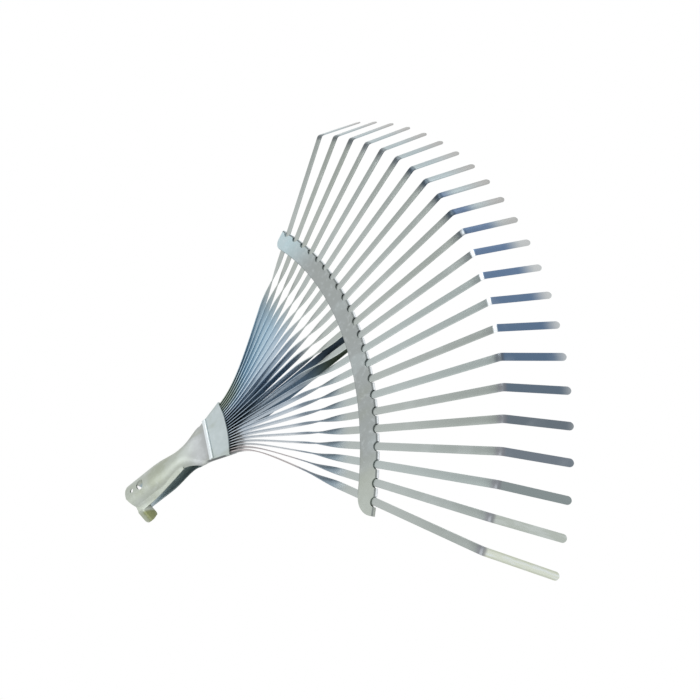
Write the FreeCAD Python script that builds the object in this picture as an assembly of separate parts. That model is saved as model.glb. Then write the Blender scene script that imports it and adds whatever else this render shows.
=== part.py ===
"""Head of a spring-tine leaf rake, in millimetres.

The origin is the middle of the socket's mouth, on the handle's axis.
+Y runs from the mouth to the tips of the tines, +Z is the upper side of the fan.

One pressed socket takes the handle and clamps the roots of the tines.
Each tine is a strip that leaves the socket on edge, turns a quarter about its length,
lies flat through a hole in the brace, and bends down at its elbow.
The brace is a folded band, and a stay strap joins it to the socket below the fan.
"""
import FreeCAD, Part
import math
import os

Vector = FreeCAD.Vector

# ---- driving dimensions ----
HANDLE_DIAMETER = 28.0      # wooden handle that the socket takes
SHEET = 1.2                 # sheet of the socket
GRIP_LENGTH = 34.0          # straight part of the socket, from the mouth
NECK_Y = 79.0               # narrowest point of the tube
NECK_RADIUS = 12.3          # outside of the tube there
TAPER_START = 3.0           # the tube stays straight this far before it tapers
FLARE_Y = 92.0              # section halfway through the flare
FLARE_HALF_WIDTH = 17.6
FLARE_HALF_HEIGHT = 8.6
FLARE_POWER = 2.6           # 2 is an ellipse, more is squarer
SIDE_ARC = 22               # degrees, half of a section's side arcs
JAW_BACK_Y = 104.0          # start of the flat jaw
JAW_CORNER_Y = 132.5        # front corners of the jaw
JAW_NOSE = 4.0              # how far the middle of the jaw stands in front of its corners
JAW_HALF_WIDTH = 28.2       # outside of the jaw at its front corners
JAW_FLARE = 17.0            # degrees, each side of the jaw against the axis
BEAD_Y = 111.5              # pressed bead across the jaw, over the heels of the tines
BEAD_WIDTH = 4.8
BEAD_HEIGHT = 1.7
BEAD_END = 0.9              # the bead stops this far short of the jaw's sides
BEAD_ROUND = 0.9            # rounding of its top, as a share of its height
JAW_CORNER = 1.8            # outside corners of the jaw's section

SCREW_HOLE_Y = 10.0
SCREW_HOLE_DIAMETER = 4.2
HANG_HOLE_Y = 22.5
HANG_HOLE_DIAMETER = 9.6

CREASE_Z = 7.7              # crease of the turned-out lip along the open seam, above the axis
LIP_END_Y = 76.0            # the lip runs out near the neck
LIP_MOUTH = 8.0             # width of the lip at the mouth
LIP_NECK = 2.0              # and where it runs out
LIP_ANGLE = 22.0            # degrees, slope of the lip
SEAM_FLARE_Z = 4.2          # upper edge of the seam on the flare, above the axis
SEAM_BOTTOM = 8.6           # lower edge of the seam on the tube, below the axis
SEAM_NECK_BOTTOM = 7.2      # and at the neck
JAW_RIM = 2.8               # rim turned down along the jaw's open side
LOWER_PLATE_INSET = 3.0     # the lower plate ends this far inside the rim
LOWER_PLATE_HALF = 12.2     # lower plate's half width where the flare starts
MOUTH_TRIM = 4.2            # the mouth's edge is cut back this far beside the seam
MOUTH_TRIM_X = 4.0          # where that cut starts, across the tube
EAR_LENGTH = 12.0           # tongue that stands out from the lip at the mouth
EAR_WIDTH = 12.0
EAR_FLAT = 5.5              # flat part of its width; the rest is rolled down
EAR_SLOPE = 42.0            # degrees
EAR_CORNER = 4.0

TINES = 22
TINE_WIDTH = 6.0
TINE_THICKNESS = 0.9
HEEL_HEIGHT = 1.15          # heel of the tine, which stands up into the bead
FLAT_SHARE = 0.14           # last share of the run from jaw to brace, where a tine is flat
TWIST_SHARE = 0.30          # share of that run that holds the quarter turn
DROP = 3.0                  # the flat part lies this far below the middle of the part on edge
BOW_START = 22.0            # how long a tine holds its first direction
BOW_END = 0.62              # same at the end of the bow, as a share of its chord
FAN_ANGLE = 46.8            # degrees, outer tines against the axis
FAN_EASE = 0.066            # small cubic term, which opens the outer tines faster
ELBOW_RUN = 115.0           # brace to elbow, on the middle tines
ELBOW_SHORTER = 0.138       # share of it that the outer tines lack
ELBOW_ANGLE = 42.4          # degrees
ELBOW_ANGLE_MORE = 7.6      # added on the outer tines
ELBOW_RADIUS = 4.5
TIP_LENGTH = 45.2
TIP_LONGER = 10.2           # added on the outer tines

BRACE_Y = 297.0             # middle of the brace's folded edge
BRACE_RADIUS = 285.5
BRACE_HALF_ANGLE = 29.8     # degrees, place of the outer tines
BRACE_END = 7.2             # band beyond the outer tine at its -X end, along the edge
BRACE_LONG_END = 10.6       # the same at its +X end
BRACE_WIDTH = 17.5
BRACE_SHEET = 0.9
BRACE_CORNER = 8.0          # back corner at the -X end
BRACE_LONG_CORNER = 15.0    # back corner at the +X end

STAY_WIDTH = 18.0
STAY_SHEET = 0.9
STAY_BACK_Y = 114.5
STAY_BEND_Y = 173.0
STAY_DEPTH = 8.0            # of the bend, below the strap's seat in the jaw
STAY_UNDER_BRACE = 3.2      # below its seat on the brace where it meets the band's back edge
STAY_RAMP = 4.0             # each side of the band's back edge, where it comes up to its seat
STAY_END = 4.5              # the strap ends this far short of the brace's fold

# ---- clearances ----
JAW_PLAY = 0.1              # above and below the tines in the jaw
ROOT_PLAY = 1.25            # between the outer tines and the jaw's side walls
HEEL_PLAY = 0.25            # each side of the heel in the bead
BRACE_PLAY = 0.3            # above and below the tines in the brace
HOLE_PLAY = 1.0             # each side of a tine in its hole through the fold

# ---- worked out ----
BORE = HANDLE_DIAMETER / 2
TUBE_RADIUS = BORE + SHEET
JAW_ROOM = TINE_WIDTH + STAY_SHEET + 2 * JAW_PLAY
JAW_HALF_HEIGHT = JAW_ROOM / 2 + SHEET
EDGE_Z = JAW_ROOM / 2 - JAW_PLAY - TINE_WIDTH / 2
FLAT_Z = EDGE_Z - DROP
BRACE_HALF_GAP = TINE_THICKNESS / 2 + BRACE_PLAY
BRACE_HALF_HEIGHT = BRACE_HALF_GAP + BRACE_SHEET
HEEL_LENGTH = BEAD_WIDTH - 2 * SHEET - 2 * HEEL_PLAY
ROOT_Y = BEAD_Y - HEEL_LENGTH / 2
ARC_Y = BRACE_Y - BRACE_RADIUS
FLARE = math.tan(math.radians(JAW_FLARE))
HOLE_DIAMETER = TINE_WIDTH + 2 * HOLE_PLAY
HOLE_INSET = 0.35 * BRACE_HALF_HEIGHT   # the holes' centres lie this far inside the fold's edge
FAR = 60.0                  # longer than any cut
OVER = 1.0                  # how far a cut runs past an edge
BOW_POINTS = 9              # points on each side of the bow
TWIST_SECTIONS = 8          # steps of the quarter turn


def jaw_half_width(y):
    """Outside half width of the jaw at y."""
    return JAW_HALF_WIDTH + (y - JAW_CORNER_Y) * FLARE


def face(points):
    """Flat face through a closed run of corner points."""
    return Part.Face(Part.makePolygon(list(points) + [points[0]]))


def round_ring(y, half_width, half_height, power):
    """Closed section across Y: a superellipse in eight arcs; power 2 is a plain ellipse."""
    def at(degrees):
        c = math.cos(math.radians(degrees))
        s = math.sin(math.radians(degrees))
        x = math.copysign(abs(c) ** (2 / power), c)
        z = math.copysign(abs(s) ** (2 / power), s)
        return Vector(half_width * x, y, half_height * z)

    edges = []
    for start in range(0, 360, 90):
        low = start + SIDE_ARC
        high = start + 90 - SIDE_ARC
        edges.append(Part.Arc(at(low), at((low + high) / 2), at(high)).toShape())
        edges.append(Part.Arc(at(high), at(start + 90), at(start + 90 + SIDE_ARC)).toShape())
    return Part.Wire(edges)


def jaw_ring(y, half_width, half_height, corner):
    """Closed section across Y: a rectangle with round corners, in the same order."""
    w = half_width
    h = half_height
    k = corner * (1 - math.sqrt(0.5))
    points = []
    for sx, sz in ((1, 1), (-1, 1), (-1, -1), (1, -1)):
        side = Vector(sx * w, y, sz * (h - corner))
        middle = Vector(sx * (w - k), y, sz * (h - k))
        cap = Vector(sx * (w - corner), y, sz * h)
        points.append((side, middle, cap) if sx * sz > 0 else (cap, middle, side))
    edges = []
    for i, (first, middle, last) in enumerate(points):
        edges.append(Part.Arc(first, middle, last).toShape())
        edges.append(Part.makeLine(last, points[(i + 1) % 4][0]))
    return Part.Wire(edges)


def socket_body(inset):
    """Tube, flare and jaw as one solid; the inset is the sheet for the inside."""
    over = SHEET if inset else 0.0
    radius = TUBE_RADIUS - inset
    neck = NECK_RADIUS - inset
    taper = (radius + neck) / 2
    jaw_h = JAW_HALF_HEIGHT - inset
    corner = JAW_CORNER - inset
    back_w = jaw_half_width(JAW_BACK_Y) - inset
    sections = [
        round_ring(GRIP_LENGTH, radius, radius, 2),
        round_ring(GRIP_LENGTH + TAPER_START, radius, radius, 2),
        round_ring((GRIP_LENGTH + NECK_Y) / 2, taper, taper, 2),
        round_ring(NECK_Y, neck, neck, 2),
        round_ring(FLARE_Y, FLARE_HALF_WIDTH - inset, FLARE_HALF_HEIGHT - inset, FLARE_POWER),
        jaw_ring(JAW_BACK_Y, back_w, jaw_h, corner),
    ]
    flare = Part.makeLoft(sections, True, False)
    tube = Part.makeCylinder(radius, GRIP_LENGTH + over, Vector(0, -over, 0), Vector(0, 1, 0))
    front = JAW_CORNER_Y + JAW_NOSE + SHEET
    jaw = Part.makeLoft([jaw_ring(JAW_BACK_Y, back_w, jaw_h, corner),
                         jaw_ring(front, jaw_half_width(front) - inset, jaw_h, corner)], True, True)
    return tube.fuse([flare, jaw])


def jaw_front():
    """Everything behind the jaw's curved front edge."""
    radius = (JAW_HALF_WIDTH ** 2 + JAW_NOSE ** 2) / (2 * JAW_NOSE)
    centre = JAW_CORNER_Y + JAW_NOSE - radius
    return Part.makeCylinder(radius, FAR, Vector(0, centre, -FAR / 2))


def bead(inset):
    """Raised bead across the jaw's upper plate, with rounded ends."""
    half = BEAD_WIDTH / 2 - inset
    length = jaw_half_width(BEAD_Y) - BEAD_END - inset
    height = JAW_HALF_HEIGHT + BEAD_HEIGHT - inset
    base = JAW_HALF_HEIGHT - SHEET - SHEET / 2
    box = Part.makeBox(2 * length, 2 * half, height - base, Vector(-length, BEAD_Y - half, base))
    upper = [e for e in box.Edges if abs(e.CenterOfMass.z - height) < 0.01]
    return box.makeFillet(BEAD_ROUND * min(half, BEAD_HEIGHT), upper)


def lip_width(y):
    """Width of the lip: widest at the mouth, nearly nothing at its end."""
    return LIP_MOUTH + (LIP_NECK - LIP_MOUTH) * y / LIP_END_Y


def lip_section(y, radius):
    """Section of the lip across Y: a sloping strip from inside the tube's wall to the free edge."""
    slope = math.radians(LIP_ANGLE)
    out = Vector(math.cos(slope), 0, -math.sin(slope))
    down = Vector(-math.sin(slope), 0, -math.cos(slope)) * SHEET
    crease = Vector(math.sqrt(radius ** 2 - CREASE_Z ** 2), y, CREASE_Z)
    first = crease - out * SHEET
    last = crease + out * lip_width(y)
    points = [first, last, last + down, first + down]
    return Part.makePolygon(points + [points[0]])


def lip():
    """Sheet turned out along the seam's upper edge."""
    taper_y = GRIP_LENGTH + TAPER_START
    middle_y = (taper_y + LIP_END_Y) / 2
    middle = TUBE_RADIUS + (NECK_RADIUS - TUBE_RADIUS) * (middle_y - taper_y) / (NECK_Y - taper_y)
    sections = [lip_section(0, TUBE_RADIUS), lip_section(taper_y, TUBE_RADIUS),
                lip_section(middle_y, middle), lip_section(LIP_END_Y, NECK_RADIUS)]
    return Part.makeLoft(sections, True, True)


def seam():
    """What the seam takes off the +X side: between the sheet's edges, from mouth to jaw."""
    rim = JAW_HALF_HEIGHT - JAW_RIM
    floor = -JAW_HALF_HEIGHT + SHEET
    middle = (NECK_Y + JAW_BACK_Y) / 2
    line = [(-OVER, CREASE_Z), (LIP_END_Y, CREASE_Z - LIP_NECK), (middle, SEAM_FLARE_Z),
            (JAW_BACK_Y, rim), (JAW_BACK_Y, floor + SHEET), (middle, floor - SHEET),
            (NECK_Y, -SEAM_NECK_BOTTOM), (GRIP_LENGTH, -SEAM_BOTTOM), (-OVER, -SEAM_BOTTOM)]
    side = face([Vector(0, y, z) for y, z in line]).extrude(Vector(FAR, 0, 0))
    front = JAW_CORNER_Y + JAW_NOSE + SHEET
    plan = [(LOWER_PLATE_HALF, NECK_Y), (LOWER_PLATE_HALF, middle),
            (jaw_half_width(JAW_BACK_Y) - LOWER_PLATE_INSET, JAW_BACK_Y),
            (jaw_half_width(front) - LOWER_PLATE_INSET, front), (FAR, front), (FAR, NECK_Y)]
    below = face([Vector(x, y, rim - FAR) for x, y in plan]).extrude(Vector(0, 0, FAR))
    return [side, below]


def ear():
    """Tongue on the lip at the mouth: a sloping strip, flat beside the mouth and rolled down beyond."""
    slope = math.radians(EAR_SLOPE)
    out = Vector(math.cos(slope), 0, -math.sin(slope))
    up = Vector(math.sin(slope), 0, math.cos(slope))
    lip_slope = math.radians(LIP_ANGLE)
    crease_x = math.sqrt(TUBE_RADIUS ** 2 - CREASE_Z ** 2)
    root = Vector(crease_x + LIP_MOUTH * math.cos(lip_slope), MOUTH_TRIM,
                  CREASE_Z - LIP_MOUTH * math.sin(lip_slope))
    start = root - out * (LIP_MOUTH / 4)
    roll = EAR_WIDTH - EAR_FLAT
    k = math.sqrt(0.5)

    def at(y, z):
        return start + Vector(0, y, 0) + up * z

    def rolled(radius, share):
        return at(EAR_FLAT + radius * share, -roll + radius * math.sqrt(1 - share * share))

    inner = roll - SHEET
    edges = [Part.makeLine(at(0, 0), at(EAR_FLAT, 0)),
             Part.Arc(at(EAR_FLAT, 0), rolled(roll, k), at(EAR_WIDTH, -roll)).toShape(),
             Part.makeLine(at(EAR_WIDTH, -roll), at(EAR_WIDTH - SHEET, -roll)),
             Part.Arc(at(EAR_WIDTH - SHEET, -roll), rolled(inner, k), at(EAR_FLAT, -SHEET)).toShape(),
             Part.makeLine(at(EAR_FLAT, -SHEET), at(0, -SHEET)),
             Part.makeLine(at(0, -SHEET), at(0, 0))]
    bar = Part.Face(Part.Wire(edges)).extrude(out * (LIP_MOUTH / 4 + EAR_LENGTH))
    return bar.common(ear_plan(start, out, up))


def ear_plan(start, out, up):
    """Outline of the tongue seen square on, with two round corners, as a deep block."""
    r = EAR_CORNER
    k = r * (1 - math.sqrt(0.5))
    length = LIP_MOUTH / 4 + EAR_LENGTH
    base = start - up * (FAR / 2)

    def at(x, y):
        return base + out * x + Vector(0, y, 0)

    w = EAR_WIDTH
    edges = [Part.makeLine(at(0, 0), at(length - r, 0)),
             Part.Arc(at(length - r, 0), at(length - k, k), at(length, r)).toShape(),
             Part.makeLine(at(length, r), at(length, w - r)),
             Part.Arc(at(length, w - r), at(length - k, w - k), at(length - r, w)).toShape(),
             Part.makeLine(at(length - r, w), at(0, w)),
             Part.makeLine(at(0, w), at(0, 0))]
    return Part.Face(Part.Wire(edges)).extrude(up * FAR)


def mouth_trim():
    """What is cut off the mouth's edge beside the seam: a slope, then level across the lip."""
    inside = BORE - SHEET / 2
    outline = [(MOUTH_TRIM_X, -OVER), (MOUTH_TRIM_X, 0), (inside, MOUTH_TRIM), (FAR, MOUTH_TRIM), (FAR, -OVER)]
    return face([Vector(x, y, -FAR / 2) for x, y in outline]).extrude(Vector(0, 0, FAR))


def holes():
    """Screw hole and hanging hole in the top of the tube."""
    up = 2 * TUBE_RADIUS
    tools = []
    for y, diameter in ((SCREW_HOLE_Y, SCREW_HOLE_DIAMETER), (HANG_HOLE_Y, HANG_HOLE_DIAMETER)):
        tools.append(Part.makeCylinder(diameter / 2, up, Vector(0, y, 0)))
    return tools


def socket():
    """One pressed sheet: outside less inside, opened at the seam and cut at the jaw."""
    outer = socket_body(0.0).fuse(bead(0.0))
    inner = socket_body(SHEET).fuse(bead(SHEET))
    body = outer.cut(inner).common(jaw_front())
    edge = lip().fuse(ear()).cut(socket_body(SHEET))
    body = body.cut(seam()).fuse(edge).cut(mouth_trim())
    return body.cut(holes()).removeSplitter()


def brace_angle(u):
    """Place of a tine on the brace; u runs from -1 to 1 across the fan."""
    return math.radians(BRACE_HALF_ANGLE) * u


def tine_heading(u):
    """Direction of a tine at the brace and beyond, against +Y."""
    return math.radians(FAN_ANGLE) * (u + FAN_EASE * (u ** 3 - u))


def exit_point(u):
    """Where a tine's middle line crosses the brace's folded edge."""
    a = brace_angle(u)
    return Vector(BRACE_RADIUS * math.sin(a), ARC_Y + BRACE_RADIUS * math.cos(a), 0)


def unit(angle):
    """Level direction at this angle from +Y towards +X."""
    return Vector(math.sin(angle), math.cos(angle), 0)


def root_line(u):
    """Back end of a tine and the point where it leaves the jaw."""
    room = jaw_half_width(0) - SHEET / math.cos(math.radians(JAW_FLARE)) - ROOT_PLAY - TINE_THICKNESS / 2
    back = Vector(u * (room + ROOT_Y * FLARE), ROOT_Y, 0)
    front = Vector(u * (room + JAW_CORNER_Y * FLARE), JAW_CORNER_Y, 0)
    return back, front


def bow(u):
    """Middle line of the part on edge, as a list of points with their headings."""
    back, front = root_line(u)
    heading = (front - back).normalize()
    way = unit(tine_heading(u))
    run = (exit_point(u) - front).Length
    end = exit_point(u) - way * (run * (FLAT_SHARE + TWIST_SHARE))
    reach = BOW_END * (end - front).Length
    curve = Part.BezierCurve()
    curve.setPoles([front, front + heading * BOW_START, end - way * reach, end])
    return back, heading, curve, end, way, run


def edge_part(u):
    """Strip on edge: straight in the jaw with its heel, then bowed outwards."""
    back, heading, curve, end, way, run = bow(u)
    count = BOW_POINTS
    half = TINE_THICKNESS / 2
    left = []
    right = []
    for i in range(count):
        t = i / (count - 1)
        p = curve.value(t)
        d = curve.tangent(t)[0]
        n = Vector(d.y, -d.x, 0) * half
        left.append(p - n)
        right.append(p + n)
    n = Vector(heading.y, -heading.x, 0) * half
    sides = []
    for points in (left, right):
        spline = Part.BSplineCurve()
        spline.interpolate(Points=points, InitialTangent=heading, FinalTangent=way)
        sides.append(spline.toShape())
    edges = [Part.makeLine(back - n, left[0]), sides[0], Part.makeLine(left[-1], right[-1]),
             sides[1], Part.makeLine(right[0], back + n), Part.makeLine(back + n, back - n)]
    base = Part.Face(Part.Wire(Part.__sortEdges__(edges)))
    base.translate(Vector(0, 0, EDGE_Z - TINE_WIDTH / 2))
    strip = base.extrude(Vector(0, 0, TINE_WIDTH))
    heel_end = back + heading * HEEL_LENGTH
    heel = face([back - n, heel_end - n, heel_end + n, back + n])
    heel.translate(Vector(0, 0, EDGE_Z))
    return strip.fuse(heel.extrude(Vector(0, 0, TINE_WIDTH / 2 + HEEL_HEIGHT)))


def twist_part(end, way, length):
    """Quarter turn about the middle line: the +X side of the strip becomes its lower face."""
    side = Vector(way.y, -way.x, 0)
    up = Vector(0, 0, 1)
    steps = TWIST_SECTIONS
    sections = []
    for i in range(steps + 1):
        t = i / steps
        ease = t * t * (3 - 2 * t)
        angle = math.radians(90) * ease
        middle = end + way * (length * t) + up * (EDGE_Z - DROP * ease)
        thick = (side * math.cos(angle) - up * math.sin(angle)) * (TINE_THICKNESS / 2)
        wide = (up * math.cos(angle) + side * math.sin(angle)) * (TINE_WIDTH / 2)
        corners = [middle + thick + wide, middle - thick + wide, middle - thick - wide,
                   middle + thick - wide]
        sections.append(Part.makePolygon(corners + [corners[0]]))
    return Part.makeLoft(sections, True, False)


def flat_part(start, way, u, length):
    """Flat strip through the brace, elbow and tip: a side outline, as wide as the strip."""
    side = Vector(way.y, -way.x, 0)
    bend = math.radians(ELBOW_ANGLE + ELBOW_ANGLE_MORE * u * u)
    tip = TIP_LENGTH + TIP_LONGER * u * u
    half = TINE_THICKNESS / 2
    setback = ELBOW_RADIUS * math.tan(bend / 2)
    centre_z = -ELBOW_RADIUS

    def at(s, z):
        return start + way * s + Vector(0, 0, FLAT_Z + z)

    def on_bend(angle, radius):
        return at(length - setback + radius * math.sin(angle), centre_z + radius * math.cos(angle))

    def on_tip(s, z):
        return at(length + s * math.cos(bend) + z * math.sin(bend), -s * math.sin(bend) + z * math.cos(bend))

    outer = ELBOW_RADIUS + half
    inner = ELBOW_RADIUS - half
    edges = [
        Part.makeLine(at(0, half), on_bend(0, outer)),
        Part.Arc(on_bend(0, outer), on_bend(bend / 2, outer), on_bend(bend, outer)).toShape(),
        Part.makeLine(on_bend(bend, outer), on_tip(tip, half)),
        Part.makeLine(on_tip(tip, half), on_tip(tip, -half)),
        Part.makeLine(on_tip(tip, -half), on_bend(bend, inner)),
        Part.Arc(on_bend(bend, inner), on_bend(bend / 2, inner), on_bend(0, inner)).toShape(),
        Part.makeLine(on_bend(0, inner), at(0, -half)),
        Part.makeLine(at(0, -half), at(0, half)),
    ]
    outline = Part.Face(Part.Wire(edges))
    outline.translate(side * (-TINE_WIDTH / 2))
    strip = outline.extrude(side * TINE_WIDTH)
    return strip.cut(tip_rounding(on_tip, side, tip))


def tip_rounding(on_tip, side, tip):
    """What a full round end takes off the strip."""
    half = TINE_WIDTH / 2
    depth = TINE_WIDTH / 2
    a = on_tip(tip - half, -depth)
    b = on_tip(tip, -depth)
    c = on_tip(tip + OVER, -depth)
    out = (on_tip(tip, 0) - on_tip(tip - half, 0)).normalize()
    up = (on_tip(tip, depth) - on_tip(tip, 0)).normalize()
    corner = a + side * half
    other = a - side * half
    k = math.sqrt(0.5) * half
    edges = [
        Part.Arc(corner, a + side * k + out * k, b).toShape(),
        Part.Arc(b, a - side * k + out * k, other).toShape(),
        Part.makeLine(other, other - side),
        Part.makeLine(other - side, c - side * (half + OVER)),
        Part.makeLine(c - side * (half + OVER), c + side * (half + OVER)),
        Part.makeLine(c + side * (half + OVER), corner + side),
        Part.makeLine(corner + side, corner),
    ]
    return Part.Face(Part.Wire(edges)).extrude(up * (2 * depth))


def tine(u):
    """One strip from heel to tip."""
    back, heading, curve, end, way, run = bow(u)
    twist_length = run * TWIST_SHARE
    flat_start = end + way * twist_length
    elbow = ELBOW_RUN * (1 - ELBOW_SHORTER * u * u)
    length = run * FLAT_SHARE + elbow
    pieces = [twist_part(end, way, twist_length), flat_part(flat_start, way, u, length)]
    return edge_part(u).fuse(pieces).removeSplitter()


def band(inner_radius, outer_radius, low, high, half_angle):
    """Ring sector about the brace's centre."""
    sweep = math.degrees(2 * half_angle)
    start = 90 - sweep / 2
    centre = Vector(0, ARC_Y, low)
    solid = Part.makeCylinder(outer_radius, high - low, centre, Vector(0, 0, 1), sweep)
    solid = solid.cut(Part.makeCylinder(inner_radius, high - low, centre))
    solid.rotate(centre, Vector(0, 0, 1), start)
    return solid


def brace():
    """Band folded along its outer edge, with a hole in the fold for each tine."""
    back = BRACE_RADIUS - BRACE_WIDTH
    straight = BRACE_RADIUS - BRACE_HALF_HEIGHT
    short_end = brace_angle(-1) - BRACE_END / BRACE_RADIUS
    long_end = brace_angle(1) + BRACE_LONG_END / BRACE_RADIUS

    def at(radius, z):
        return Vector(0, ARC_Y + radius, FLAT_Z + z)

    h = BRACE_HALF_HEIGHT
    g = BRACE_HALF_GAP
    edges = [
        Part.makeLine(at(back, h), at(straight, h)),
        Part.Arc(at(straight, h), at(straight + h, 0), at(straight, -h)).toShape(),
        Part.makeLine(at(straight, -h), at(back, -h)),
        Part.makeLine(at(back, -h), at(back, -g)),
        Part.makeLine(at(back, -g), at(straight, -g)),
        Part.Arc(at(straight, -g), at(straight + g, 0), at(straight, g)).toShape(),
        Part.makeLine(at(straight, g), at(back, g)),
        Part.makeLine(at(back, g), at(back, h)),
    ]
    section = Part.Face(Part.Wire(edges))
    axis = Vector(0, ARC_Y, 0)
    section.rotate(axis, Vector(0, 0, 1), -math.degrees(long_end))
    body = section.revolve(axis, Vector(0, 0, 1), math.degrees(long_end - short_end))
    tools = [brace_corner(short_end, BRACE_CORNER), brace_corner(long_end, BRACE_LONG_CORNER)]
    for i in range(TINES):
        tools.append(brace_hole(place(i)))
    return body.cut(tools)


def brace_corner(angle, r):
    """What rounds the band's back corner at the end that lies at this angle."""
    sign = math.copysign(1, angle)
    back = BRACE_RADIUS - BRACE_WIDTH
    corner = Vector(back * math.sin(angle), ARC_Y + back * math.cos(angle), FLAT_Z - FAR / 2)
    outward = unit(angle)
    inward = Vector(-outward.y, outward.x, 0) * sign
    centre = corner + outward * r + inward * r
    block = face([corner - outward * OVER - inward * OVER, corner - outward * OVER + inward * r,
                  centre, corner + outward * r - inward * OVER])
    block = block.extrude(Vector(0, 0, FAR))
    return block.cut(Part.makeCylinder(r, FAR, centre))


def brace_hole(u):
    """Round hole punched on the fold line, where a tine comes out."""
    p = exit_point(u)
    radius = HOLE_DIAMETER / 2
    centre = p - unit(brace_angle(u)) * HOLE_INSET
    return Part.makeCylinder(radius, FAR, Vector(centre.x, centre.y, FLAT_Z - FAR / 2))


def stay():
    """Flat strap from the jaw, under the fan, to the lower leaf of the brace."""
    seat_z = EDGE_Z - TINE_WIDTH / 2 - JAW_PLAY
    brace_back = BRACE_Y - BRACE_WIDTH
    leaf_z = FLAT_Z - BRACE_HALF_HEIGHT
    line = [(STAY_BACK_Y, seat_z), (JAW_CORNER_Y + JAW_NOSE, seat_z),
            (STAY_BEND_Y, seat_z - STAY_DEPTH), (brace_back - STAY_RAMP, leaf_z - STAY_UNDER_BRACE),
            (brace_back + STAY_RAMP, leaf_z), (BRACE_Y - STAY_END, leaf_z)]
    top = [Vector(0, y, z) for y, z in line]
    low = [Vector(0, y, z - STAY_SHEET) for y, z in line]
    outline = face(top + low[::-1])
    outline.translate(Vector(-STAY_WIDTH / 2, 0, 0))
    return outline.extrude(Vector(STAY_WIDTH, 0, 0))


def place(i):
    """Place of tine i across the fan, from -1 to 1."""
    return -1 + 2 * i / (TINES - 1)


def save(name, shape):
    """Write one piece, after a look at its validity."""
    if not shape.isValid():
        raise ValueError(name + " isn't a valid shape")
    shape.exportStep("parts/" + name + ".step")
    print(name, len(shape.Solids), round(shape.Volume, 1))


def main():
    os.makedirs("parts", exist_ok=True)
    save("socket", socket())
    save("brace", brace())
    save("stay_strap", stay())
    for i in range(TINES):
        save("tine_%02d" % (i + 1), tine(place(i)))


main()
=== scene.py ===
"""Looks of a spring-tine leaf rake head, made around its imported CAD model, in metres.

Origin: middle of the socket's mouth. +Y runs to the tips of the tines, +Z is the fan's upper side.
"""
import math

import bmesh
import bpy
import numpy as np
from bpy.props import FloatProperty, FloatVectorProperty, PointerProperty
from bpy.types import Operator, Panel, PropertyGroup
from mathutils import Matrix, Vector


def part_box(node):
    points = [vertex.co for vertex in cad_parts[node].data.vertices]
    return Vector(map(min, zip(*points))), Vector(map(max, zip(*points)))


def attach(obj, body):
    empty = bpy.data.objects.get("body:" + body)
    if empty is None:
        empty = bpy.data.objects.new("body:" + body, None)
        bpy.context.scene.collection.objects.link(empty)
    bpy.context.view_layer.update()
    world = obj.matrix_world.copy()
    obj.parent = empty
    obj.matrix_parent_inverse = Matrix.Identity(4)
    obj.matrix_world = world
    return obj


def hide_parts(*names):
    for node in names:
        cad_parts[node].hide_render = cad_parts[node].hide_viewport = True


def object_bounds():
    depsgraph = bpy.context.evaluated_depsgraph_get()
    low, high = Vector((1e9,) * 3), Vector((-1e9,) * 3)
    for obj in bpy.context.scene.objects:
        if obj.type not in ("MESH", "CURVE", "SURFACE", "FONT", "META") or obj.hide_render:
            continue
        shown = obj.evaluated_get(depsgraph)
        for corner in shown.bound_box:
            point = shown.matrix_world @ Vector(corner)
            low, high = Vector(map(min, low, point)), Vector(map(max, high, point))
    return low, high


bl_info = {
    "name": "Leaf rake head",
    "version": (1, 0, 0),
    "blender": (4, 5, 0),
    "location": "View3D > Sidebar > Rake",
    "description": "Builds the tines, brace, stay and socket of a spring-tine leaf rake",
    "category": "Add Mesh",
}

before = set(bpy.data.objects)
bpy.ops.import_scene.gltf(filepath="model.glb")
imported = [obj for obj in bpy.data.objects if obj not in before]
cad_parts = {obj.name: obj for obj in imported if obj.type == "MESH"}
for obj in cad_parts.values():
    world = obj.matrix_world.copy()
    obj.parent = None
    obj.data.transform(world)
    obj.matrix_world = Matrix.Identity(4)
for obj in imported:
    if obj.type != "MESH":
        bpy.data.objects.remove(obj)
CAD_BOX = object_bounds()
BRACE_LOW, BRACE_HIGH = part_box("brace")
BRACE_Z = (BRACE_LOW.z + BRACE_HIGH.z) / 2
TINE_COUNT = sum(name.startswith("tine_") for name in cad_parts)
BODY = "root"
MM = 0.001
UP = np.array([0.0, 0.0, 1.0])

# points along each stretch of a tine, and on each rounded edge of its section
ROOT_POINTS = 9
BOW_POINTS = 33
TURN_POINTS = 25
FLAT_POINTS = 9
BEND_POINTS = 10
TIP_POINTS = 7
NOSE_POINTS = 9
CORNER_POINTS = 4

# edges sheared from sheet: radius, and the least angle that counts as an edge
SHEET_EDGE = 0.15 * MM
BRACE_EDGE = 0.12 * MM
SHARP_SHEET = math.radians(35)
SHARP_STRIP = math.radians(50)

# socket: stretches in which one finish gives way to the next
FLARE_STARTS = (85 * MM, 108 * MM)
JAW_STARTS = (108 * MM, 114 * MM)
# the bead's top carries a painted highlight
BEAD_Y = 111.5 * MM
BEAD_HALF = (2.6 * MM, 1.6 * MM)
BEAD_TOP = (5.0 * MM, 5.6 * MM)
TONGUE_X = (19.5 * MM, 22 * MM)
TONGUE_Y = (30 * MM, 24 * MM)
# where the tongue rolls down it takes more olive, as painted shade
TONGUE_ROLL = (6 * MM, 11 * MM)
# painted shadow on the lower part of the jaw's +X rim
RIM_BACK = (104 * MM, 106 * MM)
RIM_FRONT = (130 * MM, 126 * MM)
RIM_TOP = (4.7 * MM, 4.2 * MM)
# painted shade on the jaw's inner floor, deep in the jaw
DEEP_IN_JAW = (118 * MM, 126 * MM)
LOWER_HALF = (0.0, -2 * MM)

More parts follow.
